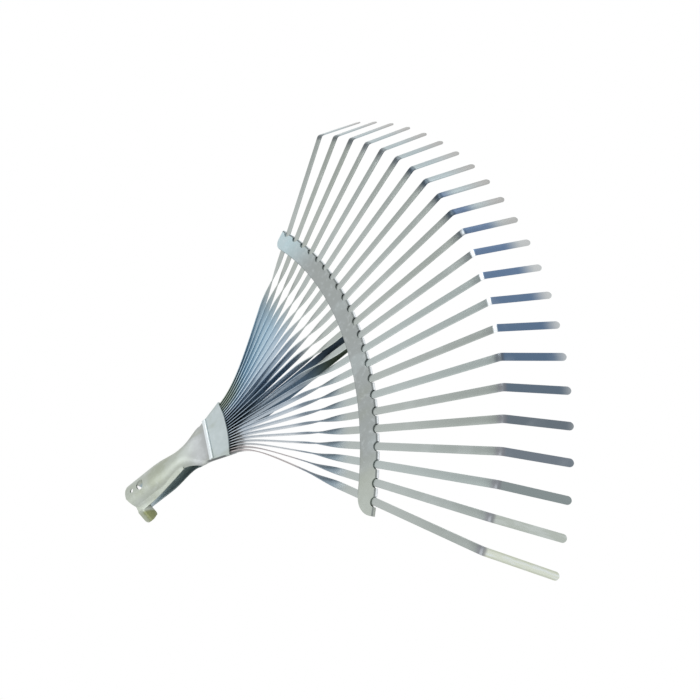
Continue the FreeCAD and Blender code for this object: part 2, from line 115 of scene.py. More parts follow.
# brace: the same across it, heights above and below its middle, and how far in from its folded edge
PALE_END = (-85 * MM, -140 * MM)
BLOTCHES = (-20 * MM, 100 * MM)
GREEN_END = (100 * MM, 128 * MM)
# the painted glint along the fold stops short of the brace's ends
GLINT_ENDS = (146 * MM, 141 * MM)
# painted shade lines above and below a painted glint on the folded edge
FOLD_UPPER_LINE = (1.15 * MM, 1.4 * MM)
FOLD_GLINT = (1.2 * MM, 1.0 * MM)
FOLD_LOWER_LINE = (-0.1 * MM, -0.5 * MM)
FOLD_DEPTH = (2.2 * MM, 1.5 * MM)
# darker along the back edge
BACK_EDGE_DEPTH = (16.8 * MM, 17.3 * MM)

# stay strap: the same along it, and across its middle
# painted shade: near black in the jaw, dark blue and dark green by the brace
STAY_IN_JAW = (146 * MM, 138 * MM)
STAY_WORN = (185 * MM, 155 * MM)
STAY_BY_BRACE = (215 * MM, 262 * MM)
STAY_MIDDLE = (-1 * MM, 6 * MM)

# painted reflection on the start of a tip, blue on most tines and pale on the last, from the -X side of the
# fan to the +X side
TIP_BLUE_REFLECTION = ((0.33, (0.12, 0.17, 0.26)), (0.55, (0.13, 0.20, 0.32)), (0.72, (0.10, 0.155, 0.235)),
         (0.79, (0.13, 0.16, 0.185)), (0.86, (0.17, 0.20, 0.235)), (0.91, (0.25, 0.29, 0.29)),
         (0.955, (0.46, 0.50, 0.46)), (1.0, (0.67, 0.71, 0.62)))
# painted reflection on a tine's part on edge, blue, dark blue and lilac grey, in the same order
ON_EDGE_REFLECTION = ((0.0, (0.34, 0.45, 0.53)), (0.14, (0.42, 0.56, 0.66)), (0.28, (0.48, 0.58, 0.67)),
           (0.36, (0.23, 0.30, 0.38)), (0.55, (0.25, 0.31, 0.37)), (0.64, (0.46, 0.53, 0.60)),
           (0.90, (0.47, 0.51, 0.54)), (0.96, (0.42, 0.385, 0.385)))

# stage: the floor's half width and its gap under the lowest tip; the world's strength
FLOOR_HALF = 6.0
FLOOR_GAP = 0.5 * MM
FLOOR_GREY = (0.8, 0.8, 0.8)
WORLD_STRENGTH = 0.7
# each lamp's name, place from the middle of the part, size both ways, and watts
LAMPS = (("key", (0.6, -0.5, 1.8), (1.6, 1.6), 9.0),
         ("fill", (-1.6, 0.9, 1.0), (1.2, 1.2), 5.0),
         ("glint", (-1.12, 0.32, 1.62), (0.9, 0.25), 3.0))


# ---- sizes and colours that a user would change ----

class TineSizes(PropertyGroup):
    """Sizes of one spring strip and of the fan that the strips make."""
    width: FloatProperty(name="Width", description="Width of the strip", default=6 * MM, unit="LENGTH")
    thickness: FloatProperty(name="Thickness", description="Thickness of the strip",
                             default=0.9 * MM, unit="LENGTH")
    edge_round: FloatProperty(name="Edge round", description="Radius of the strip's rolled edges",
                              default=0.3 * MM, unit="LENGTH")
    drop: FloatProperty(name="Drop", description="How far the flat part lies below the part on edge",
                        default=3 * MM, unit="LENGTH")
    flat_share: FloatProperty(name="Flat share", description="Flat share of the run to the brace",
                              default=0.14, subtype="FACTOR")
    twist_share: FloatProperty(name="Twist share", description="Share of the run with the quarter turn",
                               default=0.30, subtype="FACTOR")
    bow_start: FloatProperty(name="Bow start", description="How long a tine holds its first direction",
                             default=22 * MM, unit="LENGTH")
    bow_end: FloatProperty(name="Bow end", description="The same at the end of the bow, over its chord",
                           default=0.62, subtype="FACTOR")
    fan_angle: FloatProperty(name="Fan angle", description="Outer tines against the axis",
                             default=math.radians(46.8), subtype="ANGLE")
    fan_ease: FloatProperty(name="Fan ease", description="Cubic term that opens the outer tines",
                            default=0.066)
    brace_angle: FloatProperty(name="Brace angle", description="Place of the outer tines on the brace",
                               default=math.radians(29.8), subtype="ANGLE")
    brace_radius: FloatProperty(name="Brace radius", description="Radius of the brace's folded edge",
                                default=285.5 * MM, unit="LENGTH")
    elbow_run: FloatProperty(name="Elbow run", description="From the brace to the elbow",
                             default=115 * MM, unit="LENGTH")
    elbow_shorter: FloatProperty(name="Elbow shorter", description="Share that the outer tines lack",
                                 default=0.138, subtype="FACTOR")
    elbow_angle: FloatProperty(name="Elbow angle", description="Bend at the elbow",
                               default=math.radians(42.4), subtype="ANGLE")
    elbow_more: FloatProperty(name="Elbow more", description="Added bend on the outer tines",
                              default=math.radians(7.6), subtype="ANGLE")
    elbow_radius: FloatProperty(name="Elbow radius", description="Radius of the bend",
                                default=4.5 * MM, unit="LENGTH")
    tip: FloatProperty(name="Tip", description="From the elbow to the end",
                       default=45.2 * MM, unit="LENGTH")
    tip_longer: FloatProperty(name="Tip longer", description="Added on the outer tines",
                              default=10.2 * MM, unit="LENGTH")
    jaw_y: FloatProperty(name="Jaw front", description="Front corners of the jaw",
                         default=132.5 * MM, unit="LENGTH")
    jaw_flare: FloatProperty(name="Jaw flare", description="Sides of the jaw against the axis",
                             default=math.radians(17), subtype="ANGLE")
    heel: FloatProperty(name="Heel", description="Height of the heel at the strip's back end",
                        default=1.15 * MM, unit="LENGTH")
    heel_length: FloatProperty(name="Heel length", description="Length of the heel",
                               default=1.9 * MM, unit="LENGTH")


class Finishes(PropertyGroup):
    """Colours of the zinc-plated steel, and of the shade, glints and reflections painted on it."""
    jaw: FloatVectorProperty(name="Jaw", description="Zinc on the socket's flat jaw",
                             default=(0.47, 0.53, 0.54), size=3, subtype="COLOR")
    tube: FloatVectorProperty(name="Tube", description="Zinc on the socket's round tube",
                              default=(0.43, 0.465, 0.415), size=3, subtype="COLOR")
    # painted highlight on the socket's bead; elsewhere this bright colour gives small light flecks,
    # blotches and paler tip ends
    bead: FloatVectorProperty(name="Bead", description="Rubbed-bright zinc on raised edges",
                              default=(0.72, 0.77, 0.79), size=3, subtype="COLOR")
    flare: FloatVectorProperty(name="Flare", description="Faintly lilac zinc behind the bead",
                               default=(0.43, 0.45, 0.455), size=3, subtype="COLOR")
    olive: FloatVectorProperty(name="Olive", description="Yellow-green of thick passivation",
                               default=(0.21, 0.23, 0.10), size=3, subtype="COLOR")
    brace: FloatVectorProperty(name="Brace", description="Zinc on the brace",
                               default=(0.32, 0.345, 0.342), size=3, subtype="COLOR")
    brace_end: FloatVectorProperty(name="Brace end", description="Pale blue zinc at one end of the brace",
                                   default=(0.47, 0.59, 0.63), size=3, subtype="COLOR")
    strip: FloatVectorProperty(name="Strip", description="Zinc on the tines at the brace",
                               default=(0.42, 0.455, 0.44), size=3, subtype="COLOR")
    worn: FloatVectorProperty(name="Worn", description="Duller zinc on the tines towards the elbows",
                              default=(0.30, 0.33, 0.315), size=3, subtype="COLOR")
    # painted dark reflection before and on the elbows
    dark_reflection: FloatVectorProperty(name="Temper", description="Dark band that bending leaves at an elbow",
                                default=(0.10, 0.115, 0.125), size=3, subtype="COLOR")
    # painted highlight on some elbows and on the brace's fold
    glint: FloatVectorProperty(name="Glint", description="Polished spots on bends",
                               default=(0.83, 0.87, 0.90), size=3, subtype="COLOR")
    # painted dark reflection on the outer +X elbows
    lilac_reflection: FloatVectorProperty(name="Bruise", description="Lilac grey at the outer +X elbows",
                                default=(0.20, 0.205, 0.225), size=3, subtype="COLOR")
    tip: FloatVectorProperty(name="Tip", description="Zinc on the start of a tip",
                             default=(0.41, 0.48, 0.50), size=3, subtype="COLOR")
    tip_end: FloatVectorProperty(name="Tip end", description="Zinc on the end of a tip",
                                 default=(0.43, 0.43, 0.42), size=3, subtype="COLOR")
    inside: FloatVectorProperty(name="Inside", description="Duller blue-grey inside the socket",
                                default=(0.36, 0.44, 0.47), size=3, subtype="COLOR")
    # painted shade in the gaps between the strips and inside the jaw
    shade_in_gaps: FloatVectorProperty(name="Grime", description="Near-black oil and dirt in the gaps",
                               default=(0.012, 0.014, 0.016), size=3, subtype="COLOR")
    fold: FloatVectorProperty(name="Fold", description="Dark line along a fold",
                              default=(0.15, 0.165, 0.165), size=3, subtype="COLOR")
    # painted shade on the strap by the brace, and painted dark reflection on some elbows
    navy_shade_and_reflection: FloatVectorProperty(name="Navy", description="Dark blue of the strap by the brace",
                              default=(0.031, 0.050, 0.072), size=3, subtype="COLOR")
    # painted shade on the strap by the brace, +X side
    green_shade: FloatVectorProperty(name="Moss", description="Dark green beside it, on the +X side",
                              default=(0.062, 0.085, 0.058), size=3, subtype="COLOR")
    # also painted as dark blue shade on the quarter turn of the +X tines
    steel: FloatVectorProperty(name="Steel", description="Blue of the strap towards the jaw",
                               default=(0.13, 0.19, 0.25), size=3, subtype="COLOR")


class CameraSizes(PropertyGroup):
    """Where the camera stands and how it looks."""
    turn: FloatProperty(name="Turn", description="Azimuth, from behind the socket",
                        default=math.radians(127.65), subtype="ANGLE")
    rise: FloatProperty(name="Rise", description="Height above the fan's plane",
                        default=math.radians(45.30), subtype="ANGLE")
    roll: FloatProperty(name="Roll", description="Turn about the line of sight",
                        default=math.radians(-66.36), subtype="ANGLE")
    distance: FloatProperty(name="Distance", description="From the point looked at",
                            default=0.6758, unit="LENGTH")
    lens: FloatProperty(name="Lens", description="Focal length, in millimetres", default=42.38)
    aside: FloatProperty(name="Aside", description="Point looked at, across the fan",
                         default=12.8 * MM, unit="LENGTH")
    behind: FloatProperty(name="Behind", description="Point looked at, behind the brace's edge",
                          default=16.1 * MM, unit="LENGTH")


# ---- shader maths ----

class Sock:
    """A shader socket with arithmetic: an expression adds its Math nodes."""

    def __init__(self, tree, out):
        self.tree = tree
        self.out = out

    def _math(self, operation, *values):
        return self.tree.node("ShaderNodeMath", {"operation": operation}, dict(enumerate(values)))

    def __add__(self, other):
        return self._math("ADD", self, other)

    def __radd__(self, other):
        return self._math("ADD", other, self)

    def __sub__(self, other):
        return self._math("SUBTRACT", self, other)

    def __rsub__(self, other):
        return self._math("SUBTRACT", other, self)

    def __mul__(self, other):
        return self._math("MULTIPLY", self, other)

    def __rmul__(self, other):
        return self._math("MULTIPLY", other, self)

    def __pow__(self, other):
        return self._math("POWER", self, other)

    def least(self, other):
        return self._math("MINIMUM", self, other)

    def most(self, other):
        return self._math("MAXIMUM", self, other)

    def size(self):
        return self._math("ABSOLUTE", self)

    def step(self, zero, one):
        """Smooth step: 0 at the first value and past it, 1 at the second; either may be the larger."""
        return self.tree.node("ShaderNodeMapRange", {"interpolation_type": "SMOOTHSTEP"},
                              {"Value": self, "From Min": zero, "From Max": one})


class Tree:
    """A node tree, of a material or a world, with one method for every node."""

    def __init__(self, owner):
        self.owner = owner
        owner.use_nodes = True
        self.nodes = owner.node_tree.nodes
        self.links = owner.node_tree.links
        self.nodes.clear()

    def node(self, kind, settings=None, inputs=None, output=0):
        made = self.nodes.new(kind)
        for key, value in (settings or {}).items():
            if key == "stops":
                self._stops(made.color_ramp, value)
            else:
                setattr(made, key, value)
        for key, value in (inputs or {}).items():
            self.feed(made.inputs[key], value)
        return Sock(self, made.outputs[output]) if made.outputs else None

    def feed(self, socket, value):
        if isinstance(value, Sock):
            self.links.new(value.out, socket)
        elif hasattr(value, "__len__") and len(value) == 3 and socket.type == "RGBA":
            socket.default_value = (*value, 1.0)
        else:
            socket.default_value = value

    def _stops(self, ramp, stops):
        while len(ramp.elements) < len(stops):
            ramp.elements.new(0.5)
        for element, (place, colour) in zip(ramp.elements, stops):
            element.position = place
            element.color = (*colour, 1.0)

    def mix(self, factor, a, b):
        return self.node("ShaderNodeMix", {"data_type": "RGBA"}, {0: factor, 6: a, 7: b}, output=2)

    def ramp(self, factor, stops):
        return self.node("ShaderNodeValToRGB", {"stops": stops}, {0: factor})

    def noise(self, vector, scale, detail=3.0):
        return self.node("ShaderNodeTexNoise", {},
                         {"Vector": vector, "Scale": scale, "Detail": detail, "Roughness": 0.5})

    def place(self, scale=(1, 1, 1)):
        """Object coordinates, stretched by the scale."""
        place = self.node("ShaderNodeTexCoord", output="Object")
        return self.node("ShaderNodeMapping", {}, {"Vector": place, "Scale": scale})

    def strip_place(self):
        """The piece's own UV map: metres along the strip, and across it."""
        return self.node("ShaderNodeUVMap", {"uv_map": "strip"})

    def attribute(self, name):
        return self.node("ShaderNodeAttribute", {"attribute_name": name}, output="Fac")

    def parts(self, vector):
        """The three numbers of a vector."""
        return [self.node("ShaderNodeSeparateXYZ", {}, {0: vector}, output=axis) for axis in range(3)]

    def join(self, x, y=0.0, z=0.0):
        return self.node("ShaderNodeCombineXYZ", {}, {0: x, 1: y, 2: z})

    def white_rays(self):
        """1 for what is seen directly, in a reflection or through glass, 0 for the rest."""
        seen, glossy, through = [self.node("ShaderNodeLightPath", output="Is %s Ray" % kind)
                                 for kind in ("Camera", "Glossy", "Transmission")]
        return seen.most(glossy).most(through)

    def metal(self, colour, rough, height, strength, distance):
        """Metal with this colour and roughness, and a shallow bump."""
        bump = self.node("ShaderNodeBump", {}, {"Strength": strength, "Distance": distance,
                                                "Height": height})
        values = {"Base Color": colour, "Roughness": rough, "Metallic": 1.0, "Normal": bump}
        self.finish(self.node("ShaderNodeBsdfPrincipled", {}, values))
        return self.owner

    def finish(self, shader, output="ShaderNodeOutputMaterial"):
        self.node(output, {}, {0: shader})


def material_tree(name):
    return Tree(bpy.data.materials.new(name))


# ---- finishes ----

def sheet_grain(t):
    """Rolling lines and zinc spangle, as two patterns from 0 to 1."""
    lines = t.noise(t.place((1.0, 0.04, 1.0)), 1500.0, 2.0)
    spangle = t.noise(t.place(), 240.0, 2.0)
    return lines, spangle


def sheet_metal(t, colour, lines, spangle, rough):
    """Satin sheet with the grain in its roughness and in a shallow bump."""
    grain = lines * 0.5 + spangle * 0.5
    return t.metal(colour, rough + spangle * 0.08 + lines * 0.06, grain, 0.10, 0.2 * MM)


def socket_zinc(zinc):
    """Pressed socket: blue-white on the jaw, greener on the tube, olive on the tongue, a painted highlight
    on the bead, painted shade on the tongue's rolled half and deep in the jaw, and a painted shadow low on
    the jaw's +X rim.
    """
    t = material_tree("socket_sheet")
    lines, spangle = sheet_grain(t)
    x, y, z = t.parts(t.place())
    clouds = t.noise(t.place((1.0, 0.5, 1.0)), 60.0)
    colour = t.mix((y + clouds * (20 * MM)).step(*FLARE_STARTS), zinc.tube, zinc.flare)
    colour = t.mix(y.step(*JAW_STARTS), colour, zinc.jaw)
    colour = t.mix(clouds.step(0.50, 0.68) * 0.25, colour, zinc.olive)
    colour = t.mix(clouds.step(0.50, 0.34) * 0.20, colour, zinc.bead)
    tongue = x.step(*TONGUE_X) * y.step(*TONGUE_Y)
    # olive on the whole tongue, deepened on its rolled half as painted shade
    rolled = tongue * y.step(*TONGUE_ROLL)
    colour = t.mix(tongue * 0.25 + rolled * 0.65, colour, zinc.olive)
    # painted highlight along the top of the bead
    bead = (y - BEAD_Y).size().step(*BEAD_HALF) * z.step(*BEAD_TOP)
    colour = t.mix(bead * 0.9, colour, zinc.bead)
    colour = t.mix(spangle.step(0.5, 0.8) * 0.15, colour, zinc.bead)
    facing_x, _, facing_up = t.parts(t.node("ShaderNodeNewGeometry", output="Normal"))
    # painted shadow on the lower part of the jaw's +X rim
    rim = facing_x.step(0.2, 0.5) * y.step(*RIM_BACK) * y.step(*RIM_FRONT) * z.step(*RIM_TOP)
    colour = t.mix(rim, colour, zinc.fold)
    floor = facing_up.step(0.1, 0.3) * z.step(*LOWER_HALF) * (1.0 - tongue)
    colour = t.mix(floor, colour, zinc.inside)
    # painted shade on the inner floor deep in the jaw
    colour = t.mix(floor * y.step(*DEEP_IN_JAW), colour, zinc.shade_in_gaps)
    return sheet_metal(t, colour, lines, spangle, 0.38)


def brace_zinc(zinc):
    """Folded band: pale blue towards its -X end, greyer and blotchy towards the other, with painted shade
    lines and a painted glint along the fold, and darker along its back edge.
    """
    t = material_tree("brace_sheet")
    lines, spangle = sheet_grain(t)
    x, y, z = t.parts(t.place())
    clouds = t.noise(t.place((1.0, 0.5, 1.0)), 45.0, 4.0)
    colour = t.mix(x.step(*PALE_END), zinc.brace, zinc.brace_end)
    colour = t.mix(clouds.step(0.48, 0.66) * (x.step(*BLOTCHES) * 0.12 + 0.04), colour, zinc.olive)
    colour = t.mix(clouds.step(0.50, 0.36) * 0.30, colour, zinc.jaw)
    colour = t.mix(spangle.step(0.5, 0.8) * 0.20, colour, zinc.bead)
    colour = t.mix(x.step(*GREEN_END) * 0.7, colour, zinc.tube)
    # how far in from the folded edge, and how high above the brace's middle
    folded_edge = sizes().brace_radius
    from_centre = y - (BRACE_HIGH.y - folded_edge)
    depth = folded_edge - (x * x + from_centre * from_centre) ** 0.5
    height = z - BRACE_Z
    fold = depth.step(*FOLD_DEPTH)
    # painted shade line high on the fold, a painted glint below it, and a painted shade line lower down
    colour = t.mix(fold * height.step(*FOLD_UPPER_LINE) * 0.9, colour, zinc.fold)
    colour = t.mix(fold * height.step(*FOLD_GLINT) * x.step(*GLINT_ENDS), colour, zinc.glint)
    colour = t.mix(fold * height.step(*FOLD_LOWER_LINE) * 0.8, colour, zinc.fold)
    # darker along the back edge
    colour = t.mix(depth.step(*BACK_EDGE_DEPTH) * 0.5, colour, zinc.fold)
    return sheet_metal(t, colour, lines, spangle, 0.36)


def stay_zinc(zinc):
    """Strap under the fan: painted shade in dark blue and dark green by the brace and near black inside the
    jaw; bluer towards the jaw.
    """
    t = material_tree("stay_sheet")
    lines, spangle = sheet_grain(t)
    x, y, _ = t.parts(t.place())
    clouds = t.noise(t.place((1.0, 0.4, 1.0)), 50.0)
    # painted shade of the fan by the brace, dark blue and dark green
    by_brace = t.mix((x + clouds * (4 * MM)).step(*STAY_MIDDLE), zinc.navy_shade_and_reflection, zinc.green_shade)
    colour = t.mix(y.step(*STAY_BY_BRACE), zinc.steel, by_brace)
    colour = t.mix(y.step(*STAY_WORN) * 0.8, colour, zinc.worn)
    # painted shade near black inside the jaw
    colour = t.mix(y.step(*STAY_IN_JAW), colour, zinc.shade_in_gaps)
    colour = t.mix(clouds.step(0.50, 0.70) * 0.25, colour, zinc.steel)
    return sheet_metal(t, colour, lines, spangle, 0.34)


class StripFinish:
    """Finish of the tines, in layers.

    reach is the share of the way from the jaw to the brace, run from there to the bend, and tip from
    the bend to the end. place is -1 at the tine furthest to -X and 1 at the one furthest to +X.
    """
    ROOT_REACH = (0.26, 0.06)
    EDGE_REACH = (0.72, 0.52)
    TURN_START, TURN_END = (0.46, 0.58), (0.84, 0.72)
    WORN_RUN = (0.05, 0.95)
    # where the painted dark reflections and the painted glint lie at the elbow
    BAND_RUN = (0.88, 1.0)
    BEND_RUN = (0.955, 0.998)
    SPOT_RUN = (0.988, 0.999)
    BEND_TIP = (0.10, 0.05)
    SPOT_TIP = (0.050, 0.035)
    PAST_BEND = (0.05, 0.10)

    def __init__(self, zinc):
        t = material_tree("spring_strip")
        self.t = t
        self.zinc = zinc
        self.along, self.across, _ = t.parts(t.strip_place())
        self.place = t.attribute("place")
        self.reach = t.attribute("reach")
        self.run = t.attribute("run")
        self.tip = t.attribute("tip")
        self.turning = self.reach.step(*self.TURN_START) * self.reach.step(*self.TURN_END)
        drawn = t.join(self.along * 0.02, self.across, self.place * 3.0)
        self.lines = t.noise(drawn, 2600.0, 2.0)

    def plain(self):
        """Bright at the brace and duller to the elbow, and each strip a little different."""
        t, zinc = self.t, self.zinc
        batch = t.noise(t.join(self.place * 9.0), 5.0, 0.0)
        colour = t.mix(self.run.step(*self.WORN_RUN) * 0.9, zinc.strip, zinc.worn)
        colour = t.mix(batch.step(0.50, 0.64) * 0.08, colour, zinc.olive)
        return t.mix(batch.step(0.48, 0.36) * 0.15, colour, zinc.brace_end)

    def on_edge(self, colour):
        """From the jaw to the quarter turn: a painted reflection tinted by place, olive at the first roots,
        painted shade on the quarter turn of the +X tines, and painted shade between the strips at the jaw.
        """
        t, zinc, place, reach = self.t, self.zinc, self.place, self.reach
        # painted reflection, tinted by place
        tint = t.ramp(place * 0.5 + 0.5, ON_EDGE_REFLECTION)
        first_roots = reach.step(*self.ROOT_REACH) * place.step(-0.45, -0.75)
        tint = t.mix(first_roots * 0.6, tint, zinc.olive)
        colour = t.mix(reach.step(*self.EDGE_REACH), colour, tint)
        # painted shade, dark blue, on the quarter turn of the +X tines
        colour = t.mix(self.turning * place.step(0.05, 0.35) * 0.75, colour, zinc.steel)
        # painted shade between the strips just in front of the jaw
        gap = place * 0.015 + 0.062 + place.step(0.25, 0.55) * place.step(0.97, 0.80) * 0.022
        inner = self.across.step(2.5 * MM, 2.2 * MM)
        return t.mix((gap - reach).step(-0.015, 0.005) * inner, colour, zinc.shade_in_gaps)

    def tip_and_reflections(self, colour):
        """Tip zinc, a painted dark reflection in a band before the elbow, and a painted blue reflection
        that fades out along the tip.
        """
        t, zinc, place, tip = self.t, self.zinc, self.place, self.tip
        tip_end = t.mix(place.step(-0.1, 0.1) * 0.4, zinc.tip_end, zinc.bead)
        colour = t.mix(tip.step(0.0, 0.04), colour, t.mix(tip.step(0.35, 0.95), zinc.tip, tip_end))
        # painted dark reflection in a band before the elbow
        band = self.run.step(*self.BAND_RUN) * (1.0 - tip.step(0.0, 0.05))
        strength = place.step(-1.02, -0.72) * (1.0 - place.step(-0.02, 0.25) * 0.62)
        colour = t.mix(band * strength * 0.88, colour, zinc.dark_reflection)
        # painted blue reflection that fades out along the tip
        fades_at = (place * 0.62 + 0.67).least(place * 2.0 + 0.68) + (self.lines - 0.5) * 0.06
        blue = (fades_at - tip + 0.16).step(0.0, 0.34) * tip.step(0.02, 0.06)
        return t.mix(blue, colour, t.ramp(place * 0.5 + 0.5, TIP_BLUE_REFLECTION))

    def elbow(self, colour):
        """Painted dark reflection where the strip is bent, with a painted glint on some tines on the +X
        side.
        """
        t, zinc, place = self.t, self.zinc, self.place
        # tines with a painted glint at the elbow
        glinting = place.step(-0.14, 0.10) * place.step(0.44, 0.34)
        # painted dark reflection on the bend: dark grey, dark blue and dark lilac by place
        bent = t.mix(place.step(-0.62, -0.40), zinc.dark_reflection, zinc.navy_shade_and_reflection)
        bent = t.mix(place.step(0.35, 0.55), bent, zinc.lilac_reflection)
        bend = self.run.step(*self.BEND_RUN) * self.tip.step(*self.BEND_TIP)
        colour = t.mix(bend * (1.0 - glinting) * 0.8, colour, bent)
        # painted glint on the bend
        spot = self.run.step(*self.SPOT_RUN) * self.tip.step(*self.SPOT_TIP)
        return t.mix(spot * glinting, colour, zinc.glint)

    def last_tips(self, colour):
        """Bright streaks and olive margins on the tips at the +X side."""
        t, zinc, place = self.t, self.zinc, self.place
        on_tip = self.tip.step(*self.PAST_BEND)
        streak = t.noise(t.join(self.along * 0.2, self.across, place), 500.0)
        colour = t.mix(place.step(0.86, 0.98) * on_tip * streak.step(0.48, 0.62) * 0.6, colour, zinc.bead)
        margin = self.across.size().step(1.0 * MM, 2.8 * MM)
        return t.mix(margin * on_tip * place.step(0.90, 0.98) * 0.30, colour, zinc.olive)

    def build(self):
        """Every layer in turn. The quarter turn is rougher and has no drawing lines."""
        t, lines, turning = self.t, self.lines, self.turning
        colour = self.last_tips(self.elbow(self.tip_and_reflections(self.on_edge(self.plain()))))
        clouds = t.noise(t.place(), 40.0)
        colour = t.mix(clouds.step(0.5, 0.75) * 0.10, colour, self.zinc.bead)
        rough = lines * 0.10 + 0.20 + clouds * 0.05 + turning * 0.25
        return t.metal(colour, rough, lines * (1.0 - turning), 0.05, 0.1 * MM)


# ---- meshes ----

def unit(angle):
    """Level direction at this angle from +Y towards +X."""
    return np.array([math.sin(angle), math.cos(angle), 0.0])


def straight(a, b, count):
    """Points a + (b - a) t, for t from 0 to 1."""
    t = np.linspace(0, 1, count)[:, None]
    return a + (b - a) * t


def cubic(poles, count):
    """Bezier curve through four poles: the sum of C(3, k) t^k (1 - t)^(3 - k) pole_k."""
    t = np.linspace(0, 1, count)[:, None]
    return ((1 - t) ** 3 * poles[0] + 3 * t * (1 - t) ** 2 * poles[1]
            + 3 * t ** 2 * (1 - t) * poles[2] + t ** 3 * poles[3])


def lengths(vectors):
    return np.linalg.norm(vectors, axis=1)


def link(name, mesh, material):
    """Puts a finished mesh on the body and material."""
    piece = bpy.data.objects.new(name, mesh)
    bpy.context.scene.collection.objects.link(piece)
    mesh.materials.clear()
    mesh.materials.append(material)
    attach(piece, BODY)
    return piece


def merged_copy(node):
    """Copy of a CAD node's mesh with its loose triangles joined up."""
    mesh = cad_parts[node].data.copy()
    work = bmesh.new()
    work.from_mesh(mesh)
    bmesh.ops.remove_doubles(work, verts=work.verts, dist=1e-6)
    bmesh.ops.dissolve_limit(work, angle_limit=math.radians(0.5), verts=work.verts, edges=work.edges)
    work.to_mesh(mesh)
    work.free()
    return mesh


def soften(piece, width):
    """Rounds the sheared edges and smooths the rest."""
    bevel = piece.modifiers.new("edges", "BEVEL")
    bevel.width = width
    bevel.segments = 2
    bevel.limit_method = "ANGLE"
    bevel.angle_limit = SHARP_SHEET
    piece.data.shade_smooth()
    piece.data.set_sharp_from_angle(angle=SHARP_SHEET)


def add_sheet(node, name, material, edge):
    """A sheet part: the CAD node's own shape with softened edges."""
    piece = link(name, merged_copy(node), material)
    soften(piece, edge)
    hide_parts(node)


class TinePath:
    """Middle line of the tine at place u, from -1 to 1 across the fan; s holds the tine's sizes."""

    def __init__(self, u, node, s):
        self.u = u
        self.s = s
        self.way = unit(s.fan_angle * (u + s.fan_ease * (u ** 3 - u)))
        centre_y = BRACE_HIGH.y - s.brace_radius
        self.exit = unit(s.brace_angle * u) * s.brace_radius + [0.0, centre_y, 0.0]
        # the CAD tine's own box gives where its back end lies
        low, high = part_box(node)
        back_x = (low.x if u > 0 else high.x) + math.copysign(s.thickness / 2, u)
        self.root = np.array([back_x, low.y, 0.0])
        self.front = self.root + np.array([u * math.tan(s.jaw_flare), 1.0, 0.0]) * (s.jaw_y - low.y)
        self.root_way = (self.front - self.root) / np.linalg.norm(self.front - self.root)
        self.reach = np.linalg.norm(self.exit - self.front)
        self.bow_end = self.exit - self.way * self.reach * (s.flat_share + s.twist_share)
        self.bend = s.elbow_angle + s.elbow_more * u ** 2
        self.down = math.cos(self.bend) * self.way - math.sin(self.bend) * UP
        self.setback = s.elbow_radius * math.tan(self.bend / 2)
        self.elbow_run = s.elbow_run * (1 - s.elbow_shorter * u ** 2)

    def stretches(self):
        """Points of each stretch: straight root, cubic bow, turn, flat, bend, tip, half-round nose.

        The turn goes down by drop * (3 t^2 - 2 t^3). The bend is an arc about a centre below the strip.
        """
        s = self.s
        drop = UP * s.drop
        hold = s.bow_end * np.linalg.norm(self.bow_end - self.front)
        poles = (self.front, self.front + self.root_way * s.bow_start,
                 self.bow_end - self.way * hold, self.bow_end)
        twist_end = self.bow_end + self.way * self.reach * s.twist_share
        turn = straight(self.bow_end, twist_end, TURN_POINTS) - self.ease()[:, None] * drop
        corner = self.exit + self.way * self.elbow_run - drop
        bend_start = corner - self.way * self.setback
        a = self.bend_angles()
        bend = bend_start + s.elbow_radius * (np.sin(a) * self.way + (np.cos(a) - 1) * UP)
        nose_start = corner + self.down * (s.tip + s.tip_longer * self.u ** 2 - s.width / 2)
        nose = nose_start + self.down * s.width / 2 * self.nose_shares()[:, None]
        return [straight(self.root, self.front, ROOT_POINTS),
                cubic(poles, BOW_POINTS)[1:],
                turn[1:],
                straight(twist_end - drop, bend_start, FLAT_POINTS)[1:],
                bend[1:],
                straight(bend[-1], nose_start, TIP_POINTS)[1:],
                nose[1:]]

    def ease(self):
        t = np.linspace(0, 1, TURN_POINTS)
        return t * t * (3 - 2 * t)

    def bend_angles(self):
        return np.linspace(0, self.bend, BEND_POINTS)[:, None]

    def nose_shares(self):
        """Places along the nose, closer together at its end: sin(t pi / 2)."""
        return np.sin(np.linspace(0, math.pi / 2, NOSE_POINTS))

    def build(self):
        """Points, directions, quarter-turn angle and shares along the strip, as whole arrays.

        reach is 0 at the jaw's front and 1 at the brace. run is 0 at the brace and 1 at the bend.
        tip is 0 at the bend and 1 at the end. half_width is sqrt(1 - q^2) of the strip's on the nose.
        """
        stretches = self.stretches()
        # how many points lie before the end of each stretch
        root, bow, turn, flat, bend, tip, _ = np.cumsum([len(part) for part in stretches])
        points = np.concatenate(stretches)
        points[:, 2] += BRACE_Z + self.s.drop
        angle = np.zeros(len(points))
        angle[bow:turn] = self.ease()[1:] * math.pi / 2
        angle[turn:] = math.pi / 2
        a = self.bend_angles()[1:]
        way = np.gradient(points, axis=0)
        way[:flat, 2] = 0.0
        way[:root] = self.root_way
        way[bow:flat] = self.way
        way[flat:bend] = np.cos(a) * self.way - np.sin(a) * UP
        way[bend:] = self.down
        way /= lengths(way)[:, None]
        along = np.concatenate([[0.0], np.cumsum(lengths(np.diff(points, axis=0)))])
        jaw_front, bend_start = along[root - 1], along[flat - 1]
        run = self.elbow_run - self.setback
        brace = bend_start - run
        half_width = np.ones(len(points))
        half_width[tip:] = np.sqrt(np.clip(1 - self.nose_shares()[1:] ** 2, 0.0, 1))
        shares = {"reach": (along - jaw_front) / (brace - jaw_front),
                  "run": np.clip((along - brace) / run, 0, 1),
                  "tip": np.clip((along - bend_start) / (along[-1] - bend_start), 0, 1),
                  "place": np.full(len(points), self.u)}
        return points, way, angle, along, half_width, shares


